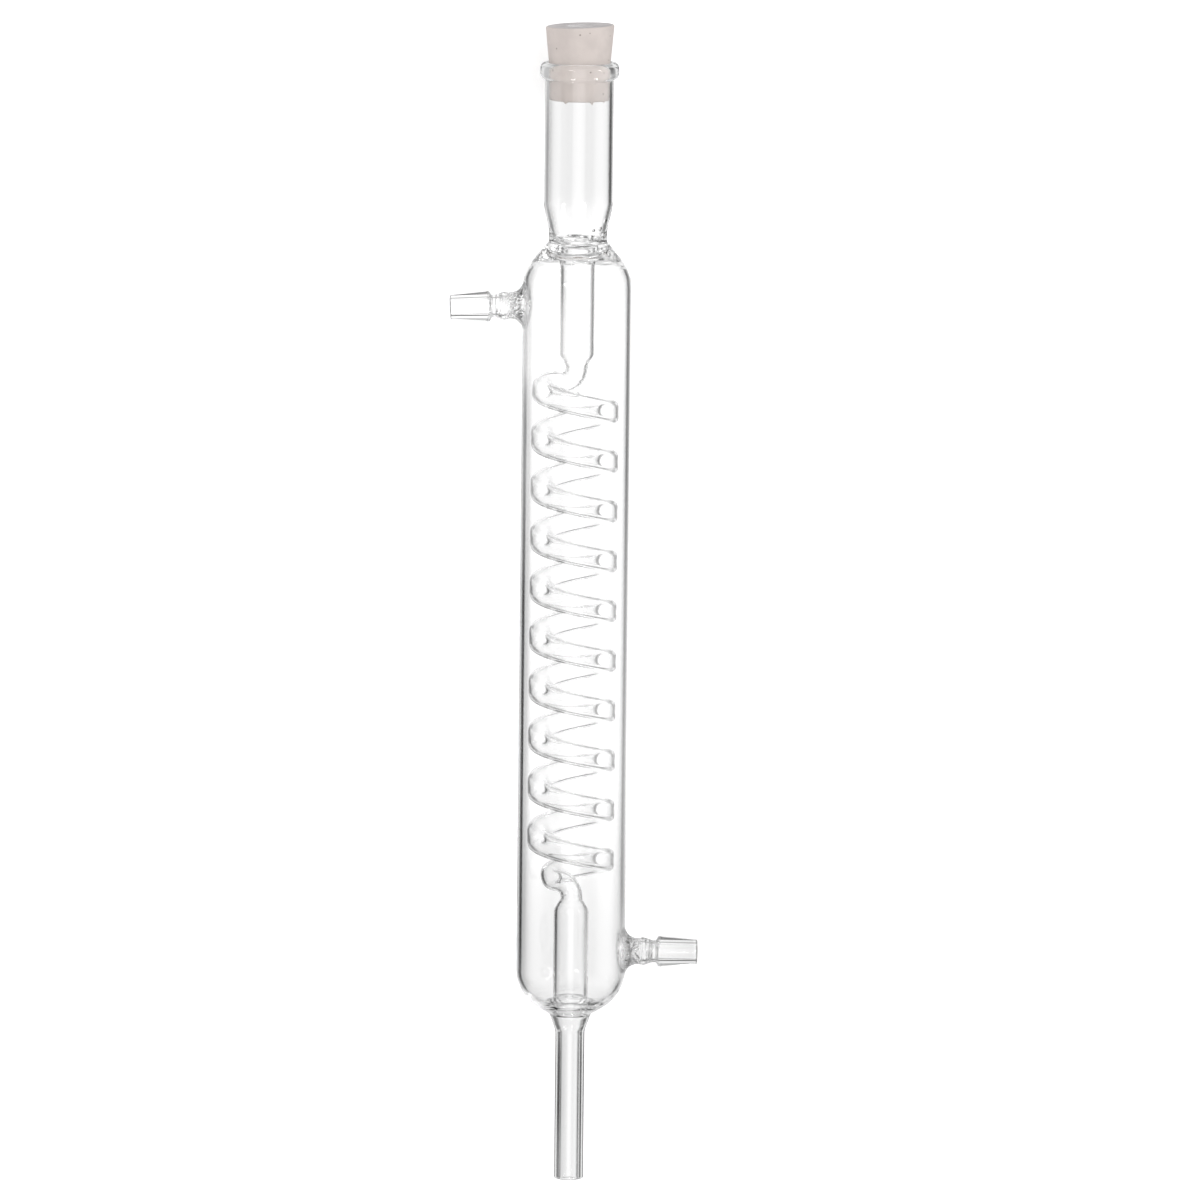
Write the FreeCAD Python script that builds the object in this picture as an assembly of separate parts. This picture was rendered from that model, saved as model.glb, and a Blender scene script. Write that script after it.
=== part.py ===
"""Coil condenser: a water jacket with a glass coil sealed inside it, and the rubber stopper in its neck.

The glass is lampworked and fused into one piece. It is modelled standing, with Z up from the tip of
the stem, X to the right and Y away from the side that is looked at. It can't stand by itself, so at
the end it is laid down the way it comes to rest: on its jacket and the tip of the upper hose
connection, with the neck toward +Y.
"""

import FreeCAD, Part
import math
import os

from FreeCAD import Placement, Rotation, Vector

# Sizes in millimetres, angles in degrees

# Jacket: the straight outer tube, and the domes that close it on the tubes inside
JACKET_OUTER_DIA = 42.0
JACKET_WALL = 1.7
JACKET_LENGTH = 300.0
UPPER_SHOULDER_RADIUS = 16.0
LOWER_SHOULDER_RADIUS = 17.0
UPPER_DOME_RADIUS = 12.0
LOWER_DOME_RADIUS = 13.5

# Stem: the drip tube below the lower ring seal
STEM_OUTER_DIA = 11.4
STEM_BORE = 7.4
STEM_LENGTH = 63.6
STEM_TIP_ROUND = 0.9

# Neck: the wide tube above the upper ring seal, with a waist below it and a bead at its rim
NECK_OUTER_DIA = 26.4
NECK_WALL = 1.35
NECK_LENGTH = 70.4
WAIST_OUTER_DIA = 22.5
WAIST_WALL = 1.9
BEAD_DIA = 30.3
BEAD_HEIGHT = 5.8
LIP_ROUND = 1.0

# Inner tubes: the cup at each ring seal, which narrows to the tube of the coil
CUP_OUTER_DIA = 13.4
CUP_WALL = 1.1
UPPER_CUP_LENGTH = 47.4
CUP_TAPER_LENGTH = 5.0
SEAL_COLLAR_DIA = 16.0

# Coil: a left-handed helix of tube that winding has pressed flat toward the jacket. At both ends it
# turns round again and bends in to the axis
COIL_TUBE_DIA = 8.4
COIL_TUBE_WALL = 1.0
COIL_WIDTH = 7.9
COIL_HEIGHT = 9.0
COIL_CORNER_RADIUS = 2.3
COIL_OUTER_DIA = 33.7
COIL_PITCH = 19.36
COIL_TURNS = 9.744
COIL_START_ANGLE = 200.0
COIL_OFFSET = 0.5
COIL_LEAD = 12.0

# Hose connections: one near each end of the jacket, on opposite sides. Shares are of the length
# outside the jacket
HOSE_REACH = 49.0
HOSE_TIP_DIA = 9.8
HOSE_BARB_DIA = 12.1
HOSE_NECK_DIA = 8.7
HOSE_BULGE_DIA = 11.0
HOSE_ROOT_DIA = 10.2
HOSE_BORE = 6.0
HOSE_ROOT_BORE = 7.0
HOSE_TIP_ROUND = 0.8
HOSE_BARB_SHARE = 0.52
HOSE_ROOT_SHARE = 0.19
HOSE_FILLET_SHARE = 0.165
UPPER_HOSE_BELOW_SEAL = 23.0
LOWER_HOSE_ABOVE_SEAL = 25.6
UPPER_HOSE_DROOP = 2.0

# Stopper: tapered rubber, squeezed to the bore where it is pressed into the neck
STOPPER_TOP_DIA = 26.4
STOPPER_BOTTOM_DIA = 23.1
STOPPER_LENGTH = 28.6
STOPPER_INSERTION = 14.5
STOPPER_EDGE_ROUND = 0.6
STOPPER_CLEARANCE = 0.05

# Radii and heights that follow from the sizes
jacket_r = JACKET_OUTER_DIA / 2
jacket_in_r = jacket_r - JACKET_WALL
stem_r = STEM_OUTER_DIA / 2
stem_in_r = STEM_BORE / 2
neck_r = NECK_OUTER_DIA / 2
neck_in_r = neck_r - NECK_WALL
waist_r = WAIST_OUTER_DIA / 2
waist_in_r = waist_r - WAIST_WALL
cup_r = CUP_OUTER_DIA / 2
cup_in_r = cup_r - CUP_WALL
coil_tube_r = COIL_TUBE_DIA / 2
coil_bore_r = coil_tube_r - COIL_TUBE_WALL
coil_r = (COIL_OUTER_DIA - COIL_WIDTH) / 2
lower_seal = STEM_LENGTH
upper_seal = lower_seal + JACKET_LENGTH
rim = upper_seal + NECK_LENGTH
stopper_bottom = rim - STOPPER_INSERTION
stopper_top = stopper_bottom + STOPPER_LENGTH

# Along a hose connection, from the jacket's axis: the start of its root, which the water space
# trims, the end of its straight root, and the crest of its barb
inside_jacket = jacket_in_r - 3
hose_run = HOSE_REACH - jacket_r
root_end = jacket_r + HOSE_ROOT_SHARE * hose_run
hose_crest = HOSE_REACH - HOSE_BARB_SHARE * hose_run

# Points closer than TOUCHING are one point, and points nearer a surface than ON_SURFACE lie on it
TOUCHING = 1e-6
ON_SURFACE = 0.01


def corner_arc(before, corner, after, reach):
    """The arc that rounds a corner, starting and ending at this reach along its two sides."""
    to_before = (before - corner).normalize()
    to_after = (after - corner).normalize()
    half_angle = to_before.getAngle(to_after) / 2
    inward = (to_before + to_after).normalize()
    middle = corner + inward * (reach / math.cos(half_angle) - reach * math.tan(half_angle))
    return Part.Arc(corner + to_before * reach, middle, corner + to_after * reach).toShape()


def outline(corners):
    """A closed wire through (r, z, radius) corners, each rounded to its radius unless that is zero."""
    points = [Vector(0, r, z) for r, z, radius in corners]
    arcs = []
    for i, (r, z, radius) in enumerate(corners):
        before, corner, after = points[i - 1], points[i], points[(i + 1) % len(points)]
        half_angle = (before - corner).getAngle(after - corner) / 2
        arcs.append(corner_arc(before, corner, after, radius / math.tan(half_angle)) if radius else None)
    starts = [arc.Vertexes[0].Point if arc else point for arc, point in zip(arcs, points)]
    ends = [arc.Vertexes[-1].Point if arc else point for arc, point in zip(arcs, points)]
    edges = []
    for i, arc in enumerate(arcs):
        if arc:
            edges.append(arc)
        following = starts[(i + 1) % len(points)]
        if ends[i].distanceToPoint(following) > TOUCHING:
            edges.append(Part.LineSegment(ends[i], following).toShape())
    return Part.Wire(edges)


def turned(corners):
    """The solid that an outline sweeps in one turn about Z."""
    return Part.Face(outline(corners)).revolve(Vector(), Vector(0, 0, 1), 360)


def coil_end(upward, helix_z):
    """Corners that lead from one end of the helix, at this height, to the end of its cup.

    The helix runs on along its tangent for COIL_LEAD, a level run then reaches the axis, and the
    cup's end is as far up or down the axis as the rest of that run is long.
    """
    angle = math.radians(COIL_START_ANGLE if upward else COIL_START_ANGLE + 360 * COIL_TURNS)
    slope = math.atan2(COIL_PITCH, 2 * math.pi * coil_r)
    way = -1 if upward else 1
    around = Vector(-math.sin(angle), math.cos(angle), 0)
    tangent = (around * math.cos(slope) - Vector(0, 0, math.sin(slope))) * way
    helix_end = Vector(coil_r * math.cos(angle) - COIL_OFFSET, coil_r * math.sin(angle), helix_z)
    corner = helix_end + tangent * COIL_LEAD
    axis_corner = Vector(0, 0, corner.z)
    rest_of_run = corner.distanceToPoint(axis_corner) - COIL_LEAD
    cup_end = axis_corner - Vector(0, 0, rest_of_run) * way
    return helix_end, corner, axis_corner, cup_end


upper_cup_end = upper_seal - UPPER_CUP_LENGTH
helix_top = upper_cup_end - coil_end(True, 0)[3].z
helix_bottom = helix_top - COIL_PITCH * COIL_TURNS
lower_cup_end = coil_end(False, helix_bottom)[3].z


def coil_section(inset):
    """The wound tube's section this far inside its surface, with X away from the coil's axis and Y up."""
    side = COIL_WIDTH / 2 - inset
    top = COIL_HEIGHT / 2 - inset
    radius = COIL_CORNER_RADIUS - inset / 2
    lower = corner_arc(Vector(0, -top, 0), Vector(side, -top, 0), Vector(side, 0, 0), radius)
    upper = corner_arc(Vector(side, 0, 0), Vector(side, top, 0), Vector(0, top, 0), radius)
    ellipse = Part.Ellipse(Vector(0, top, 0), Vector(-side, 0, 0), Vector())
    inner = Part.ArcOfEllipse(ellipse, 0, math.pi).toShape()
    arcs = [lower, upper, inner]
    edges = []
    for i, arc in enumerate(arcs):
        following = arcs[(i + 1) % len(arcs)]
        flat = Part.LineSegment(arc.Vertexes[-1].Point, following.Vertexes[0].Point).toShape()
        edges += [arc, flat]
    return Part.Wire(edges)


def round_section(inset):
    """The round tube's section, with its vertices in the directions of those of the wound one."""
    radius = coil_tube_r - inset
    ways = [math.atan2(vertex.Y, vertex.X) for vertex in coil_section(inset).OrderedVertexes]
    edges = []
    for i, way in enumerate(ways):
        sweep = (ways[(i + 1) % len(ways)] - way) % (2 * math.pi)
        turns = [way, way + sweep / 2, way + sweep]
        points = [Vector(radius * math.cos(turn), radius * math.sin(turn), 0) for turn in turns]
        edges.append(Part.Arc(*points).toShape())
    return Part.Wire(edges)


def swept(path, sections, upright):
    """The solid between sections along a path. Each comes with its point, its X and the path's way there.

    An upright one keeps its angle to the vertical, as the helix needs.
    """
    shell = Part.BRepOffsetAPI.MakePipeShell(Part.Wire([path]))
    if upright:
        shell.setBiNormalMode(Vector(0, 0, 1))
    for wire, point, outward, forward in sections:
        wire.Placement = Placement(point, Rotation(outward, forward.cross(outward), forward, "XYZ"))
        shell.add(wire)
    shell.build()
    shell.makeSolid()
    return shell.shape()


def coil_inside(inset):
    """All that lies this far inside the surface of the coil's tube, from cup to cup."""
    helix = Part.makeHelix(COIL_PITCH, helix_top - helix_bottom, coil_r, 0, True)
    helix.rotate(Vector(), Vector(0, 0, 1), COIL_START_ANGLE + 360 * COIL_TURNS)
    helix.translate(Vector(-COIL_OFFSET, 0, helix_bottom))
    solids = []
    for upward, helix_z in ((True, helix_top), (False, helix_bottom)):
        helix_end, corner, axis_corner, cup_end = coil_end(upward, helix_z)
        outward = (helix_end + Vector(COIL_OFFSET, 0, -helix_z)).normalize()
        forward = (corner - helix_end).normalize()
        if not solids:
            start = (coil_section(inset), helix_end, outward, forward)
            solids.append(swept(helix.Edges[0], [start], True))
        level = (axis_corner - corner).normalize()
        turned_outward = Rotation(forward, level).multVec(outward)
        bend = corner_arc(helix_end, corner, axis_corner, COIL_LEAD)
        bend_end = corner + level * COIL_LEAD
        first = (coil_section(inset), helix_end, outward, forward)
        last = (round_section(inset), bend_end, turned_outward, level)
        solids.append(swept(bend, [first, last], False))
        elbow = corner_arc(corner, axis_corner, cup_end, cup_end.distanceToPoint(axis_corner))
        solids.append(swept(elbow, [(round_section(inset), bend_end, turned_outward, level)], False))
    return solids[0].multiFuse(solids[1:])


def coil():
    """The hollow tube of the coil, open at the cups."""
    return coil_inside(0).cut(coil_inside(COIL_TUBE_WALL))


def blown_body():
    """Stem, jacket, neck and both cups: the wall of everything that is round about the axis."""
    taper = CUP_TAPER_LENGTH
    return turned([
        (stem_in_r, 0, STEM_TIP_ROUND),
        (stem_r, 0, STEM_TIP_ROUND),
        (stem_r, lower_seal - 5.5, 6),
        (SEAL_COLLAR_DIA / 2, lower_seal + 0.9, 2.5),
        (jacket_r, lower_seal + 8.8, LOWER_SHOULDER_RADIUS),
        (jacket_r, upper_seal - 10.4, UPPER_SHOULDER_RADIUS),
        (waist_r, upper_seal + 1.2, 1.5),
        (waist_r, upper_seal + 5.5, 10),
        (neck_r, upper_seal + 14.5, 12),
        (neck_r, rim - BEAD_HEIGHT - 1, 0.8),
        (BEAD_DIA / 2, rim - BEAD_HEIGHT + 0.4, 2.3),
        (BEAD_DIA / 2, rim, 2.2),
        (neck_in_r, rim, LIP_ROUND),
        (neck_in_r, upper_seal + 15, 12),
        (waist_in_r, upper_seal + 5, 8),
        (waist_in_r - 0.5, upper_seal + 1.8, 2.5),
        (cup_in_r, upper_seal - 2.6, 2.5),
        (cup_in_r, upper_cup_end + taper, 4),
        (coil_bore_r, upper_cup_end + 1, 2.5),
        (coil_bore_r, upper_cup_end, 0),
        (coil_tube_r, upper_cup_end, 0),
        (coil_tube_r, upper_cup_end + 1, 2.5),
        (cup_r, upper_cup_end + taper, 4),
        (cup_r, upper_seal - 2.9, 2.5),
        (jacket_in_r, upper_seal - 6.5, UPPER_DOME_RADIUS),
        (jacket_in_r, lower_seal + 8.5, LOWER_DOME_RADIUS),
        (cup_r, lower_seal + 3.8, 2.5),
        (cup_r, lower_cup_end - taper, 4),
        (coil_tube_r, lower_cup_end - 1, 2.5),
        (coil_tube_r, lower_cup_end, 0),
        (coil_bore_r, lower_cup_end, 0),
        (coil_bore_r, lower_cup_end - 1, 2.5),
        (cup_in_r, lower_cup_end - taper, 4),
        (cup_in_r, lower_seal + 0.5, 4),
        (stem_in_r, lower_seal - 6, 5),
    ])


def hose_connection():
    """One hose connection about Z, at its distance from the jacket's axis, its root inside the jacket."""
    waist = hose_crest - root_end
    return turned([
        (HOSE_ROOT_BORE / 2, inside_jacket, 0),
        (HOSE_ROOT_DIA / 2, inside_jacket, 0),
        (HOSE_ROOT_DIA / 2, root_end, 2),
        (HOSE_BULGE_DIA / 2, root_end + 0.22 * waist, 2),
        (HOSE_NECK_DIA / 2, hose_crest - 0.36 * waist, 1.5),
        (HOSE_NECK_DIA / 2, hose_crest - 0.19 * waist, 0.8),
        (HOSE_BARB_DIA / 2, hose_crest - 0.07 * waist, 0.8),
        (HOSE_TIP_DIA / 2, HOSE_REACH - 2 * HOSE_TIP_ROUND, 4),
        (HOSE_TIP_DIA / 2, HOSE_REACH, HOSE_TIP_ROUND),
        (HOSE_BORE / 2, HOSE_REACH, HOSE_TIP_ROUND),
        (HOSE_BORE / 2, hose_crest - 0.45 * waist, 4),
        (HOSE_ROOT_BORE / 2, root_end + 0.1 * waist, 4),
    ])


def hose_placements():
    """Where the hose connections sit: the upper to the left, drooping a little, the lower to the right."""
    left = Rotation(Vector(0, 1, 0), -90 - UPPER_HOSE_DROOP)
    right = Rotation(Vector(0, 1, 0), 90)
    return [
        Placement(Vector(0, 0, upper_seal - UPPER_HOSE_BELOW_SEAL), left),
        Placement(Vector(0, 0, lower_seal + LOWER_HOSE_ABOVE_SEAL), right),
    ]


def root_edges(body, place):
    """The edges where a hose connection's outside meets the outside of the jacket."""
    axis = place.Rotation.multVec(Vector(0, 0, 1))
    root_r = HOSE_ROOT_DIA / 2
    found = []
    for edge in body.Edges:
        points = edge.discretize(5)
        on_jacket = all(abs(math.hypot(p.x, p.y) - jacket_r) < ON_SURFACE for p in points)
        on_hose = all(abs(p.distanceToLine(place.Base, axis) - root_r) < ON_SURFACE for p in points)
        if on_jacket and on_hose:
            found.append(edge)
    return found


def with_hose_connections(body):
    """The body with both hose connections blown out of its jacket, and open into it."""
    water_space = Part.makeCylinder(jacket_in_r, JACKET_LENGTH, Vector(0, 0, lower_seal))
    root_depth = jacket_in_r - inside_jacket
    for place in hose_placements():
        connection = hose_connection()
        connection.Placement = place
        body = body.fuse(connection.cut(water_space))
    roots = [edge for place in hose_placements() for edge in root_edges(body, place)]
    body = body.makeFillet(HOSE_FILLET_SHARE * hose_run, roots)
    for place in hose_placements():
        hole = Part.makeCylinder(HOSE_ROOT_BORE / 2, 2 * root_depth, Vector(0, 0, inside_jacket))
        hole.Placement = place
        body = body.cut(hole)
    return body


def condenser_glass():
    """All the glass, fused into one solid."""
    return with_hose_connections(blown_body()).fuse(coil()).removeSplitter()


def neck_stopper():
    """The stopper: a cone above the rim, squeezed almost straight inside the neck."""
    lip = rim - LIP_ROUND
    return turned([
        (0, stopper_bottom, 0),
        (STOPPER_BOTTOM_DIA / 2, stopper_bottom, STOPPER_EDGE_ROUND),
        (neck_in_r - STOPPER_CLEARANCE, lip, 8),
        (STOPPER_TOP_DIA / 2, stopper_top, STOPPER_EDGE_ROUND),
        (0, stopper_top, 0),
    ])


def rest_roll():
    """How far the laid-down condenser rolls, until the tip of a hose connection meets the floor."""
    reach = HOSE_REACH - HOSE_TIP_ROUND
    width = HOSE_TIP_DIA / 2 - HOSE_TIP_ROUND
    lift = math.asin((jacket_r - HOSE_TIP_ROUND) / math.hypot(reach, width))
    return math.degrees(lift - math.atan2(width, reach))


def laid_down(shape):
    """The shape as it rests: lying along Y, rolled onto the upper hose connection, centred on the floor."""
    lie = Placement(Vector(0, -stopper_top / 2, 0), Rotation(Vector(1, 0, 0), -90))
    roll = Placement(Vector(0, 0, jacket_r), Rotation(Vector(0, 1, 0), -rest_roll()))
    resting = shape.copy()
    resting.Placement = roll.multiply(lie).multiply(resting.Placement)
    return resting


def main():
    os.makedirs("parts", exist_ok=True)
    for name, shape in (("condenser_glass", condenser_glass()), ("neck_stopper", neck_stopper())):
        laid_down(shape).exportStep("parts/" + name + ".step")


if __name__ == "__main__":
    main()
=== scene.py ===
"""Looks of a laboratory coil condenser: clear blown glass and the rubber stopper in its neck.

The condenser lies on a pale floor, on its jacket and the tip of its upper hose connection. A point of
the glass is given here as it is in the source: standing, with Z up from the tip of the stem, in
millimetres. The Rest class turns such points into the row frame, which is in metres.
"""

import logging
import math
from dataclasses import dataclass
from enum import Enum
from typing import Any, Callable, Sequence

import bmesh
import bpy
from mathutils import Matrix, Vector

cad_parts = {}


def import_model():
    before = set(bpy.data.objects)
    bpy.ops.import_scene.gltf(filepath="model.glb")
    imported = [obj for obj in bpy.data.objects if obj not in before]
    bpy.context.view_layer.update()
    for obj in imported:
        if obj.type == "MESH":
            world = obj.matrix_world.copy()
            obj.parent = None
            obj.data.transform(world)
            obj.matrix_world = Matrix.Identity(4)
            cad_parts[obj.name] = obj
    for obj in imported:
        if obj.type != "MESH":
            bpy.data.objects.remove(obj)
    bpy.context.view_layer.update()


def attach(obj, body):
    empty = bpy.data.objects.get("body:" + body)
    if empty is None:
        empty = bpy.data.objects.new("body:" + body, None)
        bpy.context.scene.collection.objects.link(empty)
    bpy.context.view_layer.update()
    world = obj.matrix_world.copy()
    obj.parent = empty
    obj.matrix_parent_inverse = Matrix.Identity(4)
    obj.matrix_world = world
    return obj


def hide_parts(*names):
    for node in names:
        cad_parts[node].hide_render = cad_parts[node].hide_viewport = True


log = logging.getLogger("condenser")

# One millimetre in the row frame
MM = 0.001
# Vertices closer than this are one, in millimetres
MERGE = 1e-4
# How far beyond a cut a point still counts as on it, in millimetres
SLACK = 0.01
# The same for the points of an open rim
RIM_SLACK = 0.1
# Height of the long axis over the floor, in the row frame
AXIS_HEIGHT = 0.021
WHITE = (1, 1, 1, 1)


class Pick(Enum):
    """What edit mode selects."""

    POINTS = "VERT"
    EDGES = "EDGE"
    FACES = "FACE"


class Skin(Enum):
    """The two skins of the glass, by the names of their objects."""

    OUTER = "outer_skin"
    WATER = "water_skin"


@dataclass(frozen=True)
class Rest:
    """How the standing condenser is laid down, as the source lays it.

    Attributes:
        height: Length from the stem's tip to the stopper's top, in millimetres.
        jacket_radius: Radius of the jacket, which lies on the floor.
        roll: Roll about the long axis onto the upper hose connection, in degrees.
    """

    height: float = 448.1
    jacket_radius: float = 21.0
    roll: float = 19.82

    def matrix(self) -> Matrix:
        """Works out the laying down.

        Returns:
            The matrix from standing millimetres to row metres.
        """
        lie = Matrix.Translation((0, -self.height / 2, 0)) @ Matrix.Rotation(math.radians(-90), 4, "X")
        roll = Matrix.Rotation(math.radians(-self.roll), 4, "Y")
        lift = Matrix.Translation((0, 0, self.jacket_radius))
        return Matrix.Scale(MM, 4) @ lift @ roll @ lie

    def point(self, x: float, y: float, z: float) -> Vector:
        """Returns one standing point, in the row frame."""
        return self.matrix() @ Vector((x, y, z))

    def direction(self, x: float, y: float, z: float) -> Vector:
        """Returns one standing direction, in the row frame, at unit length."""
        return (self.matrix().to_3x3() @ Vector((x, y, z))).normalized()


class Socket:
    """An output of a shader node that takes part in Python expressions."""

    def __init__(self, tree: bpy.types.NodeTree, source: Any) -> None:
        """Keeps the node tree and the output."""
        self.tree = tree
        self.source = source

    def __add__(self, other: Any) -> "Socket":
        """Returns self + other."""
        return Shading(self.tree).math("ADD", self, other)

    def __sub__(self, other: Any) -> "Socket":
        """Returns self - other."""
        return Shading(self.tree).math("SUBTRACT", self, other)

    def __mul__(self, other: Any) -> "Socket":
        """Returns self * other."""
        return Shading(self.tree).math("MULTIPLY", self, other)

    def __truediv__(self, other: Any) -> "Socket":
        """Returns self / other."""
        return Shading(self.tree).math("DIVIDE", self, other)

    def __pow__(self, other: Any) -> "Socket":
        """Returns self ** other."""
        return Shading(self.tree).math("POWER", self, other)

    def __radd__(self, other: Any) -> "Socket":
        """Returns other + self."""
        return Shading(self.tree).math("ADD", other, self)

    def __rsub__(self, other: Any) -> "Socket":
        """Returns other - self."""
        return Shading(self.tree).math("SUBTRACT", other, self)

    def __rmul__(self, other: Any) -> "Socket":
        """Returns other * self."""
        return Shading(self.tree).math("MULTIPLY", other, self)


class Shading:
    """Adds nodes to one material or world."""

    # Share of its reach within which a place counts as at the centre
    core = 0.4

    def __init__(self, tree: bpy.types.NodeTree) -> None:
        """Keeps the node tree."""
        self.tree = tree

    def node(self, kind: str, settings: dict | None = None, values: dict | None = None,
             output: int | str = 0) -> Socket:
        """Adds a node.

        Args:
            kind: The node's type.
            settings: Properties of the node, set first, and a ramp's stops as its "stops".
            values: Numbers, colours or sockets for its inputs, by name or index.
            output: Which output to return.

        Returns:
            The chosen output.
        """
        made = self.tree.nodes.new(kind)
        for name, value in (settings or {}).items():
            if name == "stops":
                self.set_stops(made.color_ramp, value)
            else:
                setattr(made, name, value)
        for name, value in (values or {}).items():
            if isinstance(value, Socket):
                self.tree.links.new(value.source, made.inputs[name])
            else:
                made.inputs[name].default_value = value
        return Socket(self.tree, made.outputs[output])

    def set_stops(self, ramp: bpy.types.ColorRamp, stops: Sequence[tuple[float, float]]) -> None:
        """Puts greys on a new ramp.

        Args:
            ramp: The ramp, with the two stops that it starts with.
            stops: Places from zero to one and their greys, in rising order.
        """
        ramp.elements.remove(ramp.elements[1])
        ramp.elements[0].position = stops[0][0]
        ramp.elements[0].color = (stops[0][1],) * 3 + (1,)
        for place, grey in stops[1:]:
            ramp.elements.new(place).color = (grey,) * 3 + (1,)

    def math(self, operation: str, *values: Any) -> Socket:
        """Adds a Math node.

        Args:
            operation: The node's operation.
            values: Its inputs, as sockets or numbers.

        Returns:
            The node's output.
        """
        return self.node("ShaderNodeMath", {"operation": operation}, dict(enumerate(values)))

    def vector(self, operation: str, *values: Any, output: int | str = 0) -> Socket:
        """Adds a Vector Math node.

        Args:
            operation: The node's operation.
            values: Its inputs, as sockets or vectors.
            output: Which output to return.

        Returns:
            The chosen output.
        """
        return self.node("ShaderNodeVectorMath", {"operation": operation}, dict(enumerate(values)), output)

    def step(self, value: Any, start: float, end: float) -> Socket:
        """Returns a smooth step from zero at the start to one at the end."""
        limits = {"Value": value, "From Min": start, "From Max": end, "To Min": 0.0, "To Max": 1.0}
        return self.node("ShaderNodeMapRange", {"interpolation_type": "SMOOTHSTEP"}, limits)

    def near(self, value: Socket, centre: float, reach: float) -> Socket:
        """Returns one where a value is at the centre, falling to zero this far from it."""
        return 1 - self.step(self.math("ABSOLUTE", value - centre), self.core * reach, reach)

    def band(self, value: Socket, start: float, full: float, fading: float, end: float) -> Socket:
        """Returns one between two values, falling smoothly to zero beyond them.

        Args:
            value: What is measured.
            start: Up to here it is zero.
            full: From here it is one.
            fading: Up to here it is one.
            end: From here it is zero.

        Returns:
            The share.
        """
        return self.step(value, start, full) * (1 - self.step(value, fading, end))

    def place(self) -> tuple[Socket, Socket, Socket, Socket]:
        """Returns where the shaded point is in the row frame, whole and as X, Y and Z."""
        whole = self.node("ShaderNodeTexCoord", {}, {}, "Object")
        return whole, *[self.node("ShaderNodeSeparateXYZ", {}, {0: whole}, axis) for axis in "XYZ"]

    def ray(self, fact: str) -> Socket:
        """Returns one fact about the ray, such as whether it comes from the camera."""
        return self.node("ShaderNodeLightPath", {}, {}, fact)

    def noise(self, where: Socket, scale: float, detail: float = 1.0) -> Socket:
        """Returns fractal noise about one half."""
        return self.node("ShaderNodeTexNoise", {}, {"Vector": where, "Scale": scale, "Detail": detail})

    def ramp(self, value: Any, reach: float, stops: Sequence[tuple[float, float]]) -> Socket:
        """Reads a grey from a row of stops.

        Args:
            value: A socket or number from minus the reach to the reach.
            reach: The largest value.
            stops: Values and their greys, in rising order.

        Returns:
            The grey, which runs straight from stop to stop.
        """
        places = [(place / (2 * reach) + 0.5, grey) for place, grey in stops]
        return self.node("ShaderNodeValToRGB", {"stops": places}, {0: value / (2 * reach) + 0.5})

    def mix(self, factor: Any, first: Socket, second: Socket) -> Socket:
        """Returns two shaders mixed by a factor."""
        return self.node("ShaderNodeMixShader", {}, {0: factor, 1: first, 2: second})

    def blend(self, factor: Any, first: Any, second: Any) -> Socket:
        """Returns two colours mixed by a factor."""
        return self.node("ShaderNodeMix", {"data_type": "RGBA"}, {0: factor, 6: first, 7: second}, 2)

    def finish(self, shader: Socket) -> None:
        """Links the shader to a new output.

        Args:
            shader: What the material or the world looks like.
        """
        of_world = isinstance(self.tree.id_data, bpy.types.World)
        output = self.tree.nodes.new("ShaderNodeOutputWorld" if of_world else "ShaderNodeOutputMaterial")
        self.tree.links.new(shader.source, output.inputs["Surface"])


def new_material(name: str) -> tuple[bpy.types.Material, Shading]:
    """Makes an empty node material.

    Args:
        name: The material's name.

    Returns:
        The material, and what adds nodes to it.
    """
    material = bpy.data.materials.new(name)
    material.use_nodes = True
    material.node_tree.nodes.clear()
    return material, Shading(material.node_tree)


def from_axis(x: Socket, z: Socket) -> Socket:
    """Returns how far a place in the row frame is from the long axis."""
    return (x ** 2 + (z - AXIS_HEIGHT) ** 2) ** 0.5


@dataclass(frozen=True)
class Corner:
    """One corner of a turned profile.

    Attributes:
        r: Distance from the axis, in millimetres.
        z: Height along the axis.
        rounding: Radius of the arc that rounds it, or zero.
    """

    r: float
    z: float
    rounding: float = 0.0

    def place(self) -> Vector:
        """Returns the corner in the plane of X and Z."""
        return Vector((self.r, 0, self.z))


def bent(r: float, base: float, bend: tuple[float, float]) -> Corner:
    """Returns a corner at a bend, which is given as its height over the base and its rounding."""
    return Corner(r, base + bend[0], bend[1])


def clamped(share: float) -> float:
    """Returns a share, held between zero and one."""
    return min(max(share, 0), 1)


def pick_none() -> None:
    """Deselects every object."""
    bpy.ops.object.select_all(action="DESELECT")


def pick_only(thing: bpy.types.Object) -> None:
    """Selects one object alone and makes it active.

    Args:
        thing: The object.
    """
    pick_none()
    thing.select_set(True)
    bpy.context.view_layer.objects.active = thing


def open_edit(thing: bpy.types.Object, kind: Pick = Pick.POINTS) -> bmesh.types.BMesh:
    """Opens an object in edit mode with nothing selected.

    Args:
        thing: The object to edit.
        kind: What is selected in it.

    Returns:
        The mesh as it stands in edit mode.
    """
    pick_only(thing)
    bpy.ops.object.mode_set(mode="EDIT")
    bpy.ops.mesh.select_mode(type=kind.value)
    bpy.ops.mesh.select_all(action="DESELECT")
    return bmesh.from_edit_mesh(thing.data)


def close_edit() -> None:
    """Leaves edit mode."""
    bpy.ops.object.mode_set(mode="OBJECT")


def joined(things: Sequence[bpy.types.Object]) -> bpy.types.Object:
    """Joins objects into the first of them.

    Args:
        things: The objects.

    Returns:
        The first, which now holds them all.
    """
    pick_only(things[0])
    for thing in things:
        thing.select_set(True)
    bpy.ops.object.join()
    return bpy.context.object


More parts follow.
